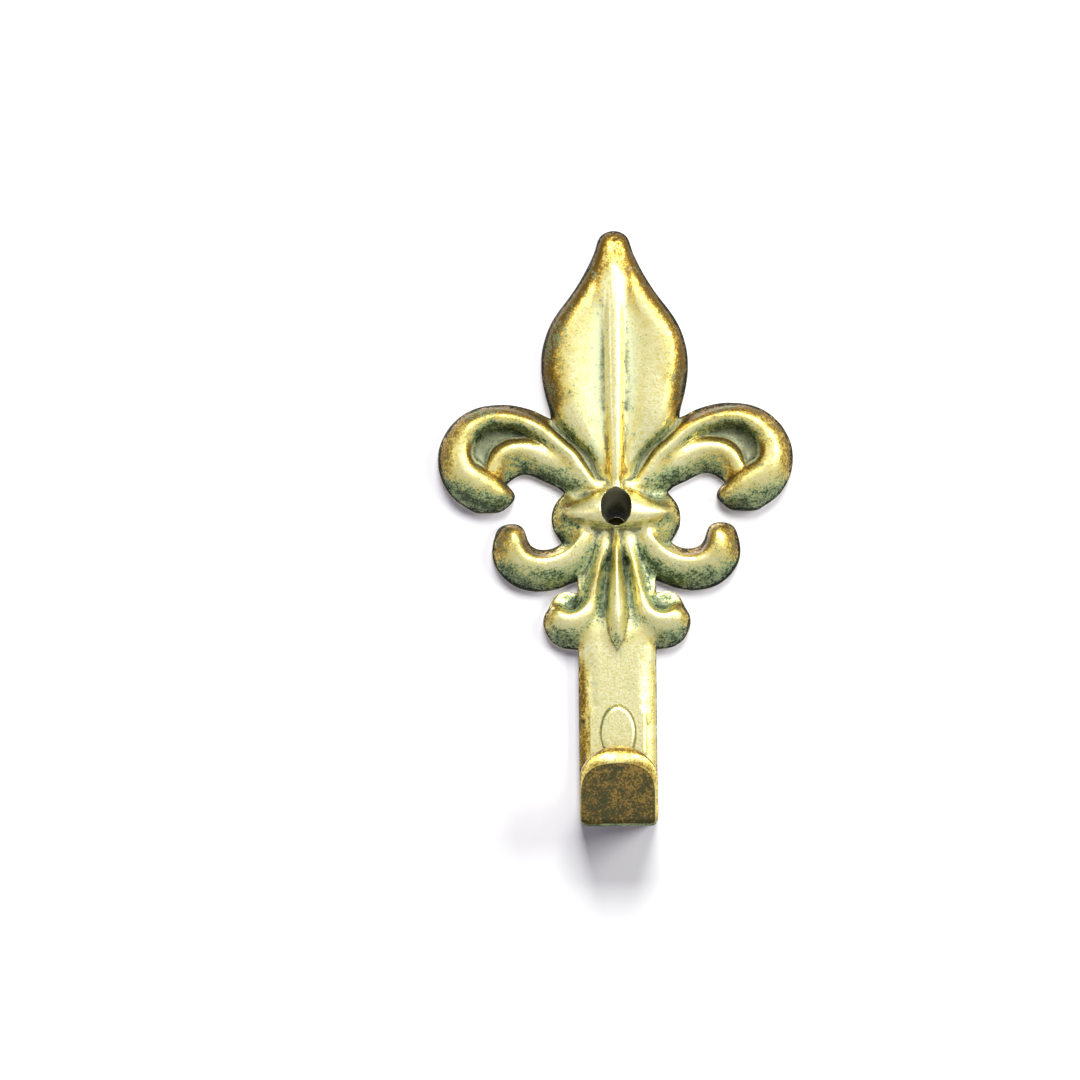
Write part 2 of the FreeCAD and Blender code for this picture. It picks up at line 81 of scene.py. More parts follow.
# Strap, whose front falls away towards its long edges
STRAP_RISE = 2.4
STRAP_FOOT = -29.0      # level below which it turns into the hook
STRAP_FLAT = 1.9        # half width of its flat middle
STRAP_HALF_WIDTH = 3.8
STRAP_FALL = 0.45
STRAP_MARGIN = 0.3      # room over its front in which a point still belongs to it

# Oval boss on the strap, with a groove round it
BOSS_LEVEL = -22.9
BOSS_WIDTH = 3.3
BOSS_HEIGHT = 5.2
BOSS_RISE = 0.22
BOSS_EDGE = 0.4         # width of the boss's rounded edge
BOSS_ROOM = 1.5         # room round the boss that is levelled with it
BOSS_ROOM_ACROSS = 2.75
BOSS_ROOM_DEEP = 0.5
BOSS_LEAST = 0.05       # least share of the way to the oval, so that its centre isn't divided by 0
GROOVE_WIDTH = 0.24
GROOVE_DEPTH = 0.12

# Dark flat face of the lip, a round-shouldered arch inside the lip's rim and 9.2 off the wall
FACE_MIDDLE = -0.1
FACE_HALF_WIDTH = 3.76
FACE_SPRING = -29.0     # level from which the arch rises
FACE_ARCH = 3.2
FACE_POWER = 2.6

# Central petal, with a channel on each side of its rib
PETAL_HALF_WIDTH = 7.6
PETAL_SLICE = 0.25      # height of the slices in which its outline is measured
PETAL_LEAST = 0.1       # least half width of a slice
CHANNEL_MIDDLE = 1.7
CHANNEL_WIDTH = 1.1
LESS_RIM_RIGHT = 0.35   # how much less brown the right half has on its rim, and less pale green in its channel
LESS_CHANNEL_RIGHT = 0.4

# Dart below the knot: its levels from the point up, its half widths there, and the line along it
DART_LEVELS = [-14.6, -13.3, -11.2, -7.5, -3.1]
DART_HALF_WIDTHS = [0.0, 0.7, 1.1, 0.85, 0.45]
DART_LINE_WIDTH = 0.2
DART_LINE_STRENGTH = 0.9

# Mouth of the hole in the knot, inside which the metal is painted dark as shade
MOUTH_HALF_WIDTH = 1.56
MOUTH_HALF_HEIGHT = 1.95

# Rounds of taking the mean with the neighbours, for each measure of the surface
STEEP_ROUNDS = 2
UNDER_ROUNDS = 6
NARROW_ROUNDS = 8
RIM_ROUNDS = 160
BROAD_ROUNDS = 240

# Where the share of each region rises from 0 to 1
FADES = {
    "front": (-0.2, 0.1),               # how squarely the surface faces the room
    "back": (0.3, 0.8),                 # how squarely it faces the wall
    "under": (0.05, 0.65),              # how far it looks down
    "worn": (0.0, 0.02),                # height over the near surroundings
    "crease": (0.008, 0.05),            # depth below the near surroundings
    "hollow": (0.0, 0.5),               # depth below the wide surroundings
    "off_wall": (0.3, 2.2),             # rise off the wall
    "outline_end": (1.5, 3.0),          # rise off the wall
    "outer": (5.0, 11.0),               # distance from the middle
    "right": (-1.0, 1.0),               # place across
    "petal": (8.0, 12.0),               # level
    "petal_top": (17.0, 23.0),          # level
    "petal_tip": (22.0, 25.5),          # level
    "petal_rim": (0.45, 0.95),          # share of the way to the petal's outline
    "off_rib": (0.9, 1.6),              # distance from the middle
    "channel_foot": (2.0, 5.0),         # level
    "channel_head": (19.0, 24.0),       # level
    "skirt_head": (2.8, 4.5),           # depth below the origin
    "skirt_foot": (10.5, 13.0),         # depth below the origin
    "skirt_side": (5.0, 8.0),           # distance from the middle
    "strap_side": (0.9, STRAP_RISE),    # rise off the wall
    "strap_head": (14.2, 17.5),         # depth below the origin
    "strap_edge": (2.5, 3.6),           # distance to the left of the middle
    "easing_head": (12.5, 17.5),        # depth below the origin
    "boss_front": (1.8, 2.2),           # rise off the wall
    "lip_rim": (5.5, 8.0),              # rise off the wall
    "lip_front": (8.85, 9.15),          # rise off the wall
    "face_outline": (-0.03, 0.05),      # depth inside the face's outline, as a share of its size
}

# Boxes round parts of the casting: distance from the middle, level and rise off the wall
BOXES = {
    "knot": ((-ANY, 5.0), (-2.7, 2.7), (2.5, ANY)),
    "collar": ((3.0, 6.5), (-4.0, 4.0), (-ANY, 2.6)),
    "mouth": ((-ANY, ANY), (-ANY, ANY), (0.5, 4.6)),
    "dart": ((-ANY, 1.2), (-15.0, -2.5), (2.6, ANY)),
    "dart_line": ((-ANY, ANY), (-14.8, -3.1), (1.5, ANY)),
    "strap": ((-ANY, ANY), (-ANY, -14.0), (-ANY, 3.0)),
    "boss_room": ((-ANY, BOSS_ROOM_ACROSS), (-ANY, ANY), (-ANY, 3.0)),
}

# What adds to a layer of the finish, or takes from it: each region's weight
MIXES = {
    "pale_green": {"hollow": 0.75, "low": 0.35, "channel": 0.55, "knot": -0.35},
    "brown": {
        "steep": 0.5, "rim": 0.9, "petal_rim": 0.95, "petal_top": 0.45, "petal_tip": 0.65, "rib": -0.5,
        # strap_edge gives the strap's left long edge more brown than its right one
        "lip_rim": 0.5, "outer_front": 0.3, "strap_edge": 0.6, "worn": -0.45, "under": -0.35,
        "hollow": -0.5, "dart": -0.4, "knot": -0.35, "strap": -0.15, "skirt": -0.35,
    },
    # Green patina on the sides that look down, darkened on the steep ones by painted shade
    "deep_green": {
        "under": 0.3, "steep_under": 0.8, "outer": 0.1, "collar": 0.3, "petal_edge": 0.2,
        "skirt": 0.6, "knot": -0.5,
    },
    # outline: patina near the wall, and painted shade on the steep flanks
    "outline": {"steep": 1.0, "steep_high": -0.25, "low": 0.12},
}

# Layers of the finish, from the bare metal up. Each has the attribute that says how much of it there
# is, how strongly the mottle breaks it up, the amounts where it begins and is full, its strength, its
# colour, its roughness and how metallic it is.
LAYERS = [
    ("brown", 1.8, 0.15, 0.65, 0.8, "#E6D066", 0.38, 0.9),
    ("brown", 2.4, 0.45, 0.9, 0.88, "#A47C26", 0.42, 0.9),
    ("brown", 3.0, 0.8, 1.15, 0.8, "#573F0C", 0.46, 0.8),
    ("pale_green", 2.0, 0.15, 0.75, 0.85, "#C2CAA4", 0.55, 0.15),
    ("deep_green", 3.0, 0.2, 0.75, 0.88, "#8AA47A", 0.52, 0.3),
    # dark green on the steep sides that look down: patina and painted shade
    ("deep_green", 4.2, 0.75, 1.2, 0.85, "#253A1E", 0.52, 0.5),
    ("crease", 1.2, 0.3, 1.0, 0.7, "#2A3423", 0.55, 0.6),
    ("back", 0.6, 0.2, 0.8, 0.6, "#8C7B46", 0.5, 0.9),
    ("lip_face", 0.2, 0.3, 0.7, 0.97, "#463B1E", 0.48, 0.95),
    ("lip_face", 5.0, 0.9, 1.6, 0.8, "#947A42", 0.42, 0.95),
    ("lip_face", -5.0, 1.0, 1.7, 0.7, "#36402C", 0.46, 0.9),
    # the inside of the hole, painted near black: a painted shade
    ("hole", 0.3, 0.3, 0.8, 0.95, "#1B1D11", 0.8, 0.3),
    # outline: near black, patina at the foot and painted shade on the steep flanks
    ("outline", 0.7, 0.9, 1.02, 0.9, "#1A1F14", 0.6, 0.7),
]

# Mottle of the finish: each noise's size, detail and weight. The finest stands for the grain of the
# cast skin, which is really about 0.1 mm, and is drawn coarser so that it shows.
MOTTLE = [
    (3.0, 4.0, 0.45),
    (0.9, 5.0, 0.5),
    (0.22, 2.0, 0.75),
]
NOISE_MIDDLE = 0.5
NOISE_ROUGHNESS = 0.65
PATCH_BUMP = (0.45, 0.06)       # strength and depth of the bumps of the middle noise
GRAIN_BUMP = (0.5, 0.03)        # strength and depth of the grain

# Bare metal, duller in the grain's dips than on its tops
BARE_DULL = "#E4D986"
BARE_BRIGHT = "#FCF8CC"
BARE_GRAIN = (0.35, 0.62)       # grain noise at which the metal is dull and bright
BARE_ROUGHNESS = (0.3, 0.4)
BARE_METALLIC = 0.9
OUTLINE_SHINE = (0.04, 0.045, 0.03, 1.0)    # tint of what the outline reflects at a glancing view, near black: a painted shade

# Photograph: millimetres to a pixel, the origin's pixel, the image's size and the object's turn
MM_PER_PIXEL = 0.101
ORIGIN_PIXEL = (615.9, 506.2)
IMAGE_SIZE = 1080
TURN = math.radians(0.55)
CAMERA_DISTANCE = 2000.0
NEAREST_SEEN = 10.0

# Wall behind the hook, and the painted shade on it behind the hole
WALL_SIZE = 900.0
WALL_GAP = 0.05
WALL_WHITE = (0.9, 0.9, 0.9, 1.0)
WALL_GLOW = (0.08, 0.07, 0.105, 1.0)    # lifts the shadows on the wall a little
HOLE_LEVEL = -2.2
HOLE_PAINTED_SHADE_RADIUS = 2.3
HOLE_PAINTED_SHADE_COLOUR = "#3A3A22"

# Light of the room in front, on matt surfaces and in the metal's reflections, where 1 is white, and
# how far back a direction points where the room gives way to the white behind the object
ROOM = 0.1
MIRRORED_ROOM = 0.6
ROOM_END = (-0.1, 0.4)

# Soft boxes: name, direction from the hook, distance, size, power in watts and colour
SOFT_BOXES = [
    ("top_box", (0.05, -1.0, 0.9), 600, 260, 4.3, (1.0, 1.0, 1.0)),
    ("right_box", (0.9, -0.8, 0.35), 400, 190, 1.2, (1.0, 1.0, 0.98)),
    ("left_box", (-0.9, -0.8, 0.1), 400, 110, 0.08, (1.0, 0.96, 0.85)),
    ("back_box", (-0.3, 1.0, 0.5), 600, 450, 1.7, (1.0, 1.0, 1.0)),
]


def linear(code):
    """A linear colour from an sRGB hex code, by the sRGB curve."""
    channels = [int(code[i:i + 2], 16) / 255 for i in (1, 3, 5)]
    return tuple(c / 12.92 if c <= 0.04045 else ((c + 0.055) / 1.055) ** 2.4 for c in channels) + (1.0,)


def smooth_step(value, low, high):
    """0 below low, 1 above high, and 3 s^2 - 2 s^3 at a share s of the way between them."""
    share = np.clip((value - low) / (high - low), 0, 1)
    return share * share * (3 - 2 * share)


def fade(value, name):
    """A named region's share: the smooth step of a value over the region's row in FADES."""
    return smooth_step(value, *FADES[name])


def fine_copy(node):
    """Points and quads of a merged copy of a node, on an even grid of voxels."""
    copy = bpy.data.objects.new("copy", node.data.copy())
    bpy.context.scene.collection.objects.link(copy)
    weld = copy.modifiers.new("weld", "WELD")
    weld.merge_threshold = WELD * MM
    remesh = copy.modifiers.new("remesh", "REMESH")
    remesh.mode = "VOXEL"
    remesh.voxel_size = VOXEL * MM
    bpy.context.view_layer.update()
    mesh = bpy.data.meshes.new_from_object(copy.evaluated_get(bpy.context.evaluated_depsgraph_get()))
    points = np.empty(len(mesh.vertices) * 3)
    mesh.vertices.foreach_get("co", points)
    corners = np.empty(len(mesh.loops), int)
    mesh.loops.foreach_get("vertex_index", corners)
    bpy.data.objects.remove(copy)
    bpy.data.meshes.remove(mesh)
    return points.reshape(-1, 3) / MM, corners.reshape(-1, 4)


def face_normals(points, quads):
    """Unit normals of quads, each from the cross product of its diagonals."""
    normal = np.cross(points[quads[:, 2]] - points[quads[:, 0]], points[quads[:, 3]] - points[quads[:, 1]])
    return normal / np.maximum(np.linalg.norm(normal, axis=1), TINY)[:, None]


def gather(index, values, count):
    """Sums of the rows of values that share an index."""
    return np.stack([np.bincount(index, values[:, axis], count) for axis in range(values.shape[1])], axis=1)


def quad_edges(quads):
    """Every side of the quads as a pair of points, low index first, with the face it belongs to."""
    sides = np.concatenate([quads[:, [i, (i + 1) % 4]] for i in range(4)])
    return np.sort(sides, axis=1), np.tile(np.arange(len(quads)), 4)


def face_pairs(sides, faces):
    """Pairs of faces that share a side."""
    order = np.lexsort((sides[:, 1], sides[:, 0]))
    sides, faces = sides[order], faces[order]
    same = np.all(sides[1:] == sides[:-1], axis=1)
    return faces[:-1][same], faces[1:][same]


def even_out(points, quads):
    """The surface with its small facets smoothed and its creases kept.

    Each face's normal becomes the mean of its own and its neighbours' normals, weighted by
    exp(-d^2 / 2 s^2) for two normals d apart. Then each point moves by the mean, over its faces, of
    the face's new normal times the distance from the point to the face's plane."""
    sides, faces = quad_edges(quads)
    one, two = face_pairs(sides, faces)
    normal = face_normals(points, quads)
    for _ in range(NORMAL_PASSES):
        apart = np.sum((normal[one] - normal[two]) ** 2, axis=1)
        weight = np.exp(-apart / (2 * NORMAL_SPREAD**2))[:, None]
        total = normal + gather(one, normal[two] * weight, len(quads))
        total = total + gather(two, normal[one] * weight, len(quads))
        normal = total / np.linalg.norm(total, axis=1)[:, None]
    touching = np.bincount(quads.ravel(), minlength=len(points))[:, None]
    for _ in range(POINT_PASSES):
        centre = points[quads].mean(axis=1)
        away = np.einsum("fj,fij->fi", normal, centre[:, None] - points[quads])
        move = (normal[:, None] * away[:, :, None]).reshape(-1, 3)
        points = points + gather(quads.ravel(), move, len(points)) / touching
    return points


def point_normals(points, quads):
    """Unit normals at the points, each the mean of its faces' normals."""
    total = gather(quads.ravel(), np.repeat(face_normals(points, quads), 4, axis=0), len(points))
    return total / np.maximum(np.linalg.norm(total, axis=1), TINY)[:, None]


def spread(values, links, passes):
    """Values at the points after some rounds of taking the mean of each and its neighbours."""
    one, two = links[:, 0], links[:, 1]
    count = len(values)
    share = 1 + np.bincount(one, minlength=count) + np.bincount(two, minlength=count)
    for _ in range(passes):
        values = (values + gather(one, values[two], count) + gather(two, values[one], count)) / share[:, None]
    return values


def hollowness(points, normal, links, passes):
    """How far the mean of the surroundings lies outside each point: above 0 in hollows, below 0 on crests."""
    return np.sum((spread(points, links, passes) - points) * normal, axis=1)


def pitted(points, normal):
    """The front's points with small dents, each a dip of depth times (1 - r^2)^2 at r radii."""
    for x, z, radius, depth in PITS:
        reach = ((points[:, 0] - x) ** 2 + (points[:, 2] - z) ** 2) / radius**2
        dip = depth * np.clip(1 - reach, 0, 1) ** 2 * (normal[:, 1] < PIT_FACING)
        points = points - normal * dip[:, None]
    return points


def boss_distance(points):
    """Distance outside the boss's oval, below 0 inside it: how far off the oval a point lies, as a
    share of its own distance from the oval's centre, times that distance."""
    x = points[:, 0]
    z = points[:, 2] - BOSS_LEVEL
    share = np.maximum(np.hypot(2 * x / BOSS_WIDTH, 2 * z / BOSS_HEIGHT), BOSS_LEAST)
    return np.hypot(x, z) * (1 - 1 / share)


def edges_eased(points):
    """The strap's front with a fall of S((|x| - flat) / (half - flat)) towards its long edges, where S
    is the smooth step. The fall fades out towards the wall and at the strap's head."""
    rise = -points[:, 1]
    fall = STRAP_FALL * smooth_step(np.abs(points[:, 0]), STRAP_FLAT, STRAP_HALF_WIDTH)
    fall = fall * fade(rise, "strap_side") * fade(-points[:, 2], "easing_head")
    strap = (points[:, 2] > STRAP_FOOT) & (rise < STRAP_RISE + STRAP_MARGIN)
    points[:, 1] += fall * strap
    return points


def bossed(points):
    """The strap's front with an even boss, which rises over a rounded edge."""
    away = boss_distance(points)
    raised = BOSS_RISE * smooth_step(-away, -BOSS_EDGE / 2, BOSS_EDGE / 2)
    near = (away < BOSS_ROOM) & (np.abs(points[:, 0]) < BOSS_ROOM_ACROSS)
    near = near & (np.abs(-points[:, 1] - STRAP_RISE) < BOSS_ROOM_DEEP)
    points[near, 1] = -(STRAP_RISE + raised)[near]
    return points


def measured(points, quads):
    """What the finish depends on at each point: its place, and how the surface lies and bends there.

    steep is the sine of the angle between the surface and the wall, a mean over the near
    surroundings, and rim is its mean over the wide ones. narrow and broad are the hollowness over
    the near and the wide surroundings."""
    normal = point_normals(points, quads)
    links = np.unique(quad_edges(quads)[0], axis=0)
    steep = spread(np.sqrt(np.clip(1 - normal[:, 1:2] ** 2, 0, 1)), links, STEEP_ROUNDS)
    under = spread(fade(-normal[:, 2:], "under"), links, UNDER_ROUNDS)
    return SimpleNamespace(
        x=points[:, 0],
        across=np.abs(points[:, 0]),
        z=points[:, 2],
        rise=-points[:, 1],
        front=fade(-normal[:, 1], "front"),
        back=fade(normal[:, 1], "back"),
        steep=steep[:, 0],
        rim=spread(steep, links, RIM_ROUNDS)[:, 0],
        under=under[:, 0],
        narrow=hollowness(points, normal, links, NARROW_ROUNDS),
        broad=hollowness(points, normal, links, BROAD_ROUNDS),
    )


def in_box(shape, name):
    """1 for the points inside a named box and 0 for the others."""
    places = (shape.across, shape.z, shape.rise)
    inside = [(place > low) & (place < high) for place, (low, high) in zip(places, BOXES[name])]
    return np.logical_and.reduce(inside) * 1.0


def mouth(shape):
    """1 inside the hole in the knot, where the ellipse's (x / a)^2 + (z / b)^2 is below 1."""
    reach = np.hypot(shape.x / MOUTH_HALF_WIDTH, shape.z / MOUTH_HALF_HEIGHT)
    return (reach < 1) * in_box(shape, "mouth")


def lip_face(shape):
    """1 on the lip's flat face and 0 off it.

    The face's outline is where |x / a|^n + (z above the spring / h)^n = 1."""
    across = np.abs((shape.x - FACE_MIDDLE) / FACE_HALF_WIDTH)
    upward = np.maximum(shape.z - FACE_SPRING, 0) / FACE_ARCH
    reach = (across**FACE_POWER + upward**FACE_POWER) ** (1 / FACE_POWER)
    return fade(1 - reach, "face_outline") * fade(shape.rise, "lip_front")


def petal_share(shape):
    """Share of the way from the central petal's middle to its outline, which in each thin slice is
    at the slice's farthest point from the middle."""
    level = np.round((shape.z - shape.z.min()) / PETAL_SLICE).astype(int)
    half_width = np.full(level.max() + 1, PETAL_LEAST)
    petal = shape.across < PETAL_HALF_WIDTH
    np.maximum.at(half_width, level[petal], shape.across[petal])
    return np.minimum(shape.across / half_width[level], 1)


def dart_line(shape):
    """exp(-(d / w)^2) at d from the dart's two long sides, which run from the knot to its point."""
    half_width = np.interp(shape.z, DART_LEVELS, DART_HALF_WIDTHS)
    return np.exp(-(((shape.across - half_width) / DART_LINE_WIDTH) ** 2)) * in_box(shape, "dart_line")


def form_regions(shape):
    """Shares of the regions that follow from how the surface lies and bends, wherever it is."""
    return {
        "steep": shape.steep,
        "steep_high": shape.steep * fade(shape.rise, "outline_end"),
        "steep_under": shape.steep * shape.under,
        "under": shape.under,
        "rim": shape.rim,
        "worn": fade(-shape.narrow, "worn"),
        "hollow": fade(shape.broad, "hollow"),
        "low": 1 - fade(shape.rise, "off_wall"),
    }


def petal_regions(shape):
    """Shares of the central petal's rim, top, tip and rib, and of the channels beside the rib.

    A channel is exp(-((|x| - middle) / width)^2). The right half of the petal has less brown on
    its rim and less pale green in its channel, as the photograph shows."""
    petal = fade(shape.z, "petal") * shape.front
    right = fade(shape.x, "right")
    off_rib = fade(shape.across, "off_rib")
    tip = fade(shape.z, "petal_tip")
    rim = fade(petal_share(shape), "petal_rim") * (1 - LESS_RIM_RIGHT * right)
    channel = np.exp(-(((shape.across - CHANNEL_MIDDLE) / CHANNEL_WIDTH) ** 2)) * off_rib
    channel = channel * fade(shape.z, "channel_foot") * (1 - fade(shape.z, "channel_head"))
    return {
        "petal_rim": petal * rim,
        "petal_edge": petal * rim**2,
        "petal_top": petal * fade(shape.z, "petal_top") * off_rib,
        "petal_tip": petal * tip,
        "rib": petal * (1 - off_rib) * (1 - tip),
        "channel": channel * (1 - LESS_CHANNEL_RIGHT * right),
    }


def limb_regions(shape, worn):
    """Shares of the knot, its collar, the dart, the outer limbs, and the unworn slopes of the skirt
    below the knot."""
    dart = in_box(shape, "dart")
    outer = fade(shape.across, "outer")
    skirt = fade(-shape.z, "skirt_head") * (1 - fade(-shape.z, "skirt_foot"))
    skirt = skirt * (1 - fade(shape.across, "skirt_side"))
    return {
        "knot": in_box(shape, "knot"),
        "collar": in_box(shape, "collar"),
        "dart": dart,
        "outer": outer,
        "outer_front": outer * shape.front,
        "skirt": skirt * (1 - worn) * (1 - dart),
    }


def strap_regions(shape, face):
    """Shares of the strap, of its left long edge, and of the lip round its flat face."""
    strap = in_box(shape, "strap")
    return {
        "strap": strap,
        "strap_edge": strap * fade(-shape.z, "strap_head") * fade(-shape.x, "strap_edge"),
        "lip_rim": fade(shape.rise, "lip_rim") * (1 - face),
    }


def finish_amounts(shape):
    """How much of each layer of the finish there is at every point.

    A mixed layer has the sum of its regions' shares times their weights. The greens stay off the
    back, and the creases are the narrow hollows and the line along the dart."""
    face = lip_face(shape)
    regions = form_regions(shape)
    regions.update(limb_regions(shape, regions["worn"]))
    regions.update(petal_regions(shape))
    regions.update(strap_regions(shape, face))
    amounts = {
        layer: sum(weight * regions[region] for region, weight in mix.items())
        for layer, mix in MIXES.items()
    }
    amounts["pale_green"] = amounts["pale_green"] * shape.front
    amounts["deep_green"] = amounts["deep_green"] * shape.front
    amounts["crease"] = np.maximum(fade(shape.narrow, "crease"), DART_LINE_STRENGTH * dart_line(shape))
    amounts["back"] = shape.back
    amounts["lip_face"] = face
    # The inside of the hole is painted dark: a painted shade
    amounts["hole"] = mouth(shape)
    amounts["boss_room"] = in_box(shape, "boss_room") * fade(shape.rise, "boss_front")
    return amounts


def mesh_object(name, points, quads, attributes):
    """A smooth mesh object at the origin, with a value at each point for every attribute."""
    mesh = bpy.data.meshes.new(name)
    mesh.from_pydata(points * MM, [], quads)
    mesh.polygons.foreach_set("use_smooth", np.ones(len(quads), bool))
    for attribute, values in attributes.items():
        layer = mesh.attributes.new(attribute, "FLOAT", "POINT")
        layer.data.foreach_set("value", np.asarray(values, np.float32))
    mesh.update()
    thing = bpy.data.objects.new(name, mesh)
    bpy.context.scene.collection.objects.link(thing)
    return thing


def casting():
    """The hook's whole surface, fine and smooth, with the amounts of its finish at each point."""
    points, quads = fine_copy(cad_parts["picture_hook"])
    points = even_out(points, quads)
    points = bossed(edges_eased(points))
    points = pitted(points, point_normals(points, quads))
    low, high = (np.array(corner) / MM for corner in CAD_BOX)
    points = np.clip(points, low, high)
    return mesh_object("casting", points, quads, finish_amounts(measured(points, quads)))


def add_node(tree, kind, inputs=(), output=0, **settings):
    """An output socket of a new node with its settings. Its inputs are linked or set, by name or number.

    Of a Mix node, input 0 is the share, 2 and 3 are its two numbers, and 6 and 7 its two colours."""
    made = tree.nodes.new(kind)
    for name, value in settings.items():
        setattr(made, name, value)
    for socket, value in dict(inputs).items():
        if isinstance(value, bpy.types.NodeSocket):
            tree.links.new(value, made.inputs[socket])
        else:
            made.inputs[socket].default_value = value
    return made.outputs[output] if made.outputs else None


def new_material(name):
    """An empty material and its node tree."""
    material = bpy.data.materials.new(name)
    material.use_nodes = True
    material.node_tree.nodes.clear()
    return material, material.node_tree


def mottle(tree, place):
    """The noises, from the coarsest to the finest, and their weighted sum, which is 0 on average."""
    noises = [
        add_node(tree, "ShaderNodeTexNoise", {
            "Vector": place, "Scale": 1 / (size * MM), "Detail": detail, "Roughness": NOISE_ROUGHNESS})
        for size, detail, weight in MOTTLE
    ]
    middle = (NOISE_MIDDLE, NOISE_MIDDLE, NOISE_MIDDLE)
    weights = tuple(weight for size, detail, weight in MOTTLE)
    three = add_node(tree, "ShaderNodeCombineXYZ", dict(enumerate(noises)))
    centred = add_node(tree, "ShaderNodeVectorMath", {0: three, 1: middle}, operation="SUBTRACT")
    weighted = {0: centred, 1: weights}
    uneven = add_node(tree, "ShaderNodeVectorMath", weighted, "Value", operation="DOT_PRODUCT")
    return noises, uneven


def boss_groove(tree, place, room):
    """1 along the middle of the groove round the boss, falling smoothly to 0 at its sides.

    The reach is the length of (x / a, z / b) from the boss's centre, so it is 1 on the oval."""
    middle = (0.0, 0.0, BOSS_LEVEL * MM)
    radii = (2 / (BOSS_WIDTH * MM), 0.0, 2 / (BOSS_HEIGHT * MM))
    away = add_node(tree, "ShaderNodeVectorMath", {0: place, 1: middle}, operation="SUBTRACT")
    away = add_node(tree, "ShaderNodeVectorMath", {0: away, 1: radii}, operation="MULTIPLY")
    reach = add_node(tree, "ShaderNodeVectorMath", {0: away}, "Value", operation="LENGTH")
    width = GROOVE_WIDTH / BOSS_WIDTH
    off_groove = add_node(tree, "ShaderNodeMath", {0: reach, 1: 1 + width}, operation="SUBTRACT")
    off_groove = add_node(tree, "ShaderNodeMath", {0: off_groove}, operation="ABSOLUTE")
    ramp = {"Value": off_groove, "From Min": width, "From Max": 0.0}
    groove = add_node(tree, "ShaderNodeMapRange", ramp, interpolation_type="SMOOTHSTEP")
    return add_node(tree, "ShaderNodeMath", {0: groove, 1: room}, operation="MULTIPLY")


def antique_brass():
    """Cast brass, aged brown and green, then rubbed back on the crests.

    The bare metal is a pale, slightly green gold. Brown lacquer is left on the slopes in a fine
    mottle, grey-green patina in the channels and on the sides that look down, darkened on the steep
    ones by painted shade, and a near black line in the creases, where no cloth reaches, and round the
    outline, which is patina at its foot and painted shade on the steep flanks. The inside of the hole
    is painted dark as shade. The lip's face is left unrubbed."""
    material, tree = new_material("antique_brass")
    place = add_node(tree, "ShaderNodeTexCoord", output="Object")
    noises, uneven = mottle(tree, place)
    patches, grain = noises[1:]
    names = dict.fromkeys([layer[0] for layer in LAYERS] + ["boss_room"])
    amounts = {
        name: add_node(tree, "ShaderNodeAttribute", output="Fac", attribute_name=name)
        for name in names
    }
    groove = boss_groove(tree, place, amounts["boss_room"])
    lines = {0: amounts["crease"], 1: groove}
    amounts["crease"] = add_node(tree, "ShaderNodeMath", lines, operation="MAXIMUM")

    bright = {"Value": grain, "From Min": BARE_GRAIN[0], "From Max": BARE_GRAIN[1]}
    bright = add_node(tree, "ShaderNodeMapRange", bright)
    metal = {0: bright, 6: linear(BARE_DULL), 7: linear(BARE_BRIGHT)}
    colour = add_node(tree, "ShaderNodeMix", metal, 2, data_type="RGBA")
    rough = {"Value": grain, "To Min": BARE_ROUGHNESS[0], "To Max": BARE_ROUGHNESS[1]}
    rough = add_node(tree, "ShaderNodeMapRange", rough)
    metallic = BARE_METALLIC
    for name, breaking, begin, full, strength, code, roughness, metal_share in LAYERS:
        mottled = {0: uneven, 1: breaking, 2: amounts[name]}
        broken = add_node(tree, "ShaderNodeMath", mottled, operation="MULTIPLY_ADD")
        ramp = {"Value": broken, "From Min": begin, "From Max": full, "To Max": strength}
        share = add_node(tree, "ShaderNodeMapRange", ramp, interpolation_type="SMOOTHSTEP")
        colour = add_node(tree, "ShaderNodeMix", {0: share, 6: colour, 7: linear(code)}, 2, data_type="RGBA")
        rough = add_node(tree, "ShaderNodeMix", {0: share, 2: rough, 3: roughness})
        metallic = add_node(tree, "ShaderNodeMix", {0: share, 2: metallic, 3: metal_share})

    # The share left after the loop is the outline's, whose reflections are tinted near black even at a
    # glancing view: a painted shade along the steep flanks
    shine = {0: share, 6: WHITE, 7: OUTLINE_SHINE}
    shine = add_node(tree, "ShaderNodeMix", shine, 2, data_type="RGBA")
    bump = add_node(tree, "ShaderNodeBump", {"Height": groove, "Distance": GROOVE_DEPTH * MM}, invert=True)
    for height, (strength, depth) in ((grain, GRAIN_BUMP), (patches, PATCH_BUMP)):
        bump = add_node(tree, "ShaderNodeBump", {
            "Height": height, "Strength": strength, "Distance": depth * MM, "Normal": bump})
    shader = add_node(tree, "ShaderNodeBsdfPrincipled", {
        "Base Color": colour, "Roughness": rough, "Normal": bump, "Metallic": metallic,
        "Specular Tint": shine})
    add_node(tree, "ShaderNodeOutputMaterial", {"Surface": shader})
    return material


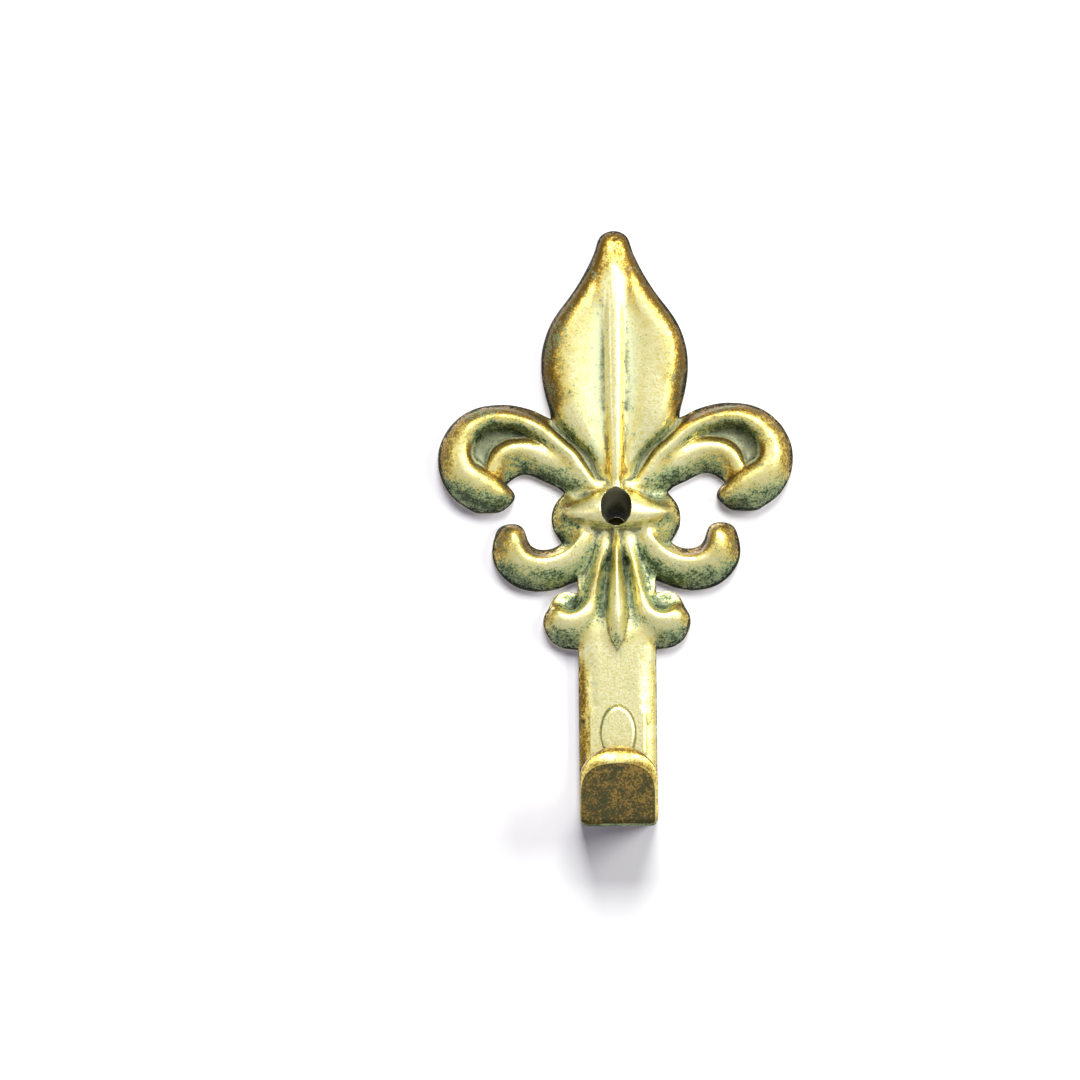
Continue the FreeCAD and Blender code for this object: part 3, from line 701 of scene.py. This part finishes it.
def wall_paper():
    """A matt white wall that shows the object's soft shadow, and can be seen through from behind.

    Behind the hole it is painted dark olive, a painted shade, because hardly any light comes that deep."""
    material, tree = new_material("white_wall")
    place = add_node(tree, "ShaderNodeTexCoord", output="Object")
    level = (0.0, WALL_GAP * MM, HOLE_LEVEL * MM)
    away = add_node(tree, "ShaderNodeVectorMath", {0: place, 1: level}, "Value", operation="DISTANCE")
    # Inside the spot behind the hole the wall is painted dark olive and does not glow: a painted shade
    off_painted_shade = add_node(tree, "ShaderNodeMath", {0: away, 1: HOLE_PAINTED_SHADE_RADIUS * MM}, operation="GREATER_THAN")
    white = {0: off_painted_shade, 6: linear(HOLE_PAINTED_SHADE_COLOUR), 7: WALL_WHITE}
    white = add_node(tree, "ShaderNodeMix", white, 2, data_type="RGBA")
    paint = add_node(tree, "ShaderNodeBsdfDiffuse", {"Color": white})
    glow = add_node(tree, "ShaderNodeEmission", {"Color": WALL_GLOW, "Strength": off_painted_shade})
    both = add_node(tree, "ShaderNodeAddShader", {0: paint, 1: glow})
    behind = add_node(tree, "ShaderNodeNewGeometry", output="Backfacing")
    clear = add_node(tree, "ShaderNodeBsdfTransparent")
    either = add_node(tree, "ShaderNodeMixShader", {0: behind, 1: both, 2: clear})
    add_node(tree, "ShaderNodeOutputMaterial", {"Surface": either})
    return material


def wall():
    """The wall, a square just behind the hook's back. It lets light from behind through to the hook."""
    half = WALL_SIZE / 2
    corners = np.array([(-half, 0, -half), (half, 0, -half), (half, 0, half), (-half, 0, half)])
    plane = mesh_object("wall", corners + (0, WALL_GAP, 0), np.array([[0, 1, 2, 3]]), {})
    plane.data.materials.append(wall_paper())
    plane.visible_shadow = False
    plane.visible_glossy = False
    plane.visible_diffuse = False


def soft_box(name, direction, distance, size, power, colour):
    """A square soft box that faces the origin from a direction."""
    light = bpy.data.lights.new(name, "AREA")
    light.size = size * MM
    light.energy = power
    light.color = colour
    thing = bpy.data.objects.new(name, light)
    place = Vector(direction).normalized() * distance * MM
    thing.matrix_world = Matrix.Translation(place) @ place.to_track_quat("Z", "Y").to_matrix().to_4x4()
    thing.visible_camera = False
    bpy.context.scene.collection.objects.link(thing)


def studio_world():
    """White behind the object, to the camera, in reflections and through glass, and a dimmer room
    in front of it."""
    world = bpy.data.worlds.new("studio")
    bpy.context.scene.world = world
    world.use_nodes = True
    tree = world.node_tree
    tree.nodes.clear()
    camera_ray = add_node(tree, "ShaderNodeLightPath", output="Is Camera Ray")
    glass_ray = add_node(tree, "ShaderNodeLightPath", output="Is Transmission Ray")
    glossy_ray = add_node(tree, "ShaderNodeLightPath", output="Is Glossy Ray")
    straight = add_node(tree, "ShaderNodeMath", {0: camera_ray, 1: glass_ray}, operation="MAXIMUM")
    direction = add_node(tree, "ShaderNodeTexCoord", output="Generated")
    backward = add_node(tree, "ShaderNodeSeparateXYZ", {0: direction}, "Y")
    ramp = {"Value": backward, "From Min": ROOM_END[0], "From Max": ROOM_END[1], "To Min": MIRRORED_ROOM}
    mirrored = add_node(tree, "ShaderNodeMapRange", ramp)
    level = add_node(tree, "ShaderNodeMix", {0: glossy_ray, 2: ROOM, 3: mirrored})
    level = add_node(tree, "ShaderNodeMath", {0: straight, 1: level}, operation="MAXIMUM")
    background = add_node(tree, "ShaderNodeBackground", {"Color": WHITE, "Strength": level})
    add_node(tree, "ShaderNodeOutputWorld", {"Surface": background})


def camera():
    """The camera square to the wall, framed and turned as in the photograph."""
    right = Vector((math.cos(TURN), 0, -math.sin(TURN)))
    up = Vector((math.sin(TURN), 0, math.cos(TURN)))
    back = Vector((0, -1, 0))
    across = (IMAGE_SIZE / 2 - ORIGIN_PIXEL[0]) * MM_PER_PIXEL
    upward = (ORIGIN_PIXEL[1] - IMAGE_SIZE / 2) * MM_PER_PIXEL
    place = (right * across + up * upward + back * CAMERA_DISTANCE) * MM
    lens = bpy.data.cameras.new("camera")
    lens.angle = 2 * math.atan(IMAGE_SIZE * MM_PER_PIXEL / 2 / CAMERA_DISTANCE)
    lens.clip_start = NEAREST_SEEN * MM
    thing = bpy.data.objects.new("camera", lens)
    turned = Matrix((right, up, back)).transposed().to_4x4()
    thing.matrix_world = Matrix.Translation(place) @ turned
    bpy.context.scene.collection.objects.link(thing)
    bpy.context.scene.camera = thing


def main():
    """The camera, the hook in its finish, the wall and the light."""
    bpy.context.scene.view_settings.view_transform = "Standard"
    camera()
    hook = casting()
    hook.data.materials.append(antique_brass())
    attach(hook, "root")
    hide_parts("picture_hook")
    wall()
    studio_world()
    for row in SOFT_BOXES:
        soft_box(*row)


main()
